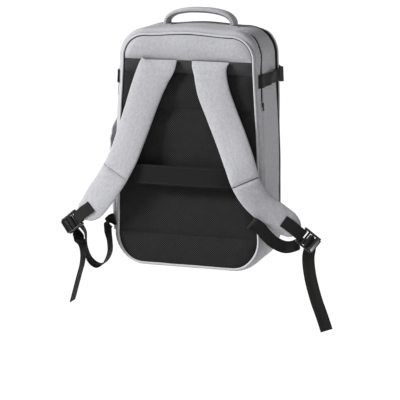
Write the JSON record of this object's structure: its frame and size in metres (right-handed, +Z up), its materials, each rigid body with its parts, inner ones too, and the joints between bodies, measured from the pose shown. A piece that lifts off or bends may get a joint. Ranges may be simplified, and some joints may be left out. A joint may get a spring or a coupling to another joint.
{
  "type": "laptop backpack",
  "caption": "Padded laptop backpack with a curved zip top, mesh back panel, shoulder straps on ladder locks, trolley sleeve, top handle and compression straps.",
  "frame": {"origin": "middle of the flat underside, at half the depth of the body", "axes": "+X towards the wearer's right, +Y from the harness side to the front of the bag, +Z up"},
  "size_m": [0.5806, 0.2226, 0.6364],
  "materials": {
    "melange_cloth": "light grey melange polyester, matt, with a fine plain weave",
    "spacer_mesh": "dark charcoal padded mesh with small knitted holes",
    "piping": "light grey bound piping, matt",
    "zip_tape": "black coil zip on black tape",
    "webbing": "black woven webbing with a slight sheen",
    "moulded_plastic": "black moulded acetal, satin",
    "slider_metal": "black painted metal, satin"
  },
  "bodies": {
    "root": {"back_panel": "spacer_mesh", "back_yoke": "melange_cloth", "rear_piping": "piping", "rear_gusset": "melange_cloth", "laptop_zip": "zip_tape", "main_gusset": "melange_cloth", "main_zip": "zip_tape", "front_panel": "melange_cloth", "left_side_pocket": "melange_cloth", "left_pocket_rim": "piping", "trolley_strap": "spacer_mesh", "top_handle": "melange_cloth", "handle_foot_left": "melange_cloth", "handle_foot_right": "melange_cloth", "shoulder_strap_left": "melange_cloth", "shoulder_strap_right": "melange_cloth", "strap_patch_left": "webbing", "strap_patch_right": "webbing", "adjuster_webbing_left": "webbing", "adjuster_webbing_right": "webbing", "ladder_lock_left": "moulded_plastic", "ladder_lock_right": "moulded_plastic", "side_anchor_left": "webbing", "side_anchor_right": "webbing", "side_webbing_left": "webbing", "side_webbing_right": "webbing", "side_tab_left": "webbing", "side_tab_right": "webbing", "side_buckle_left": "moulded_plastic", "side_buckle_right": "moulded_plastic", "laptop_slider": "slider_metal", "main_slider": "slider_metal"}
  },
  "joints": []
}
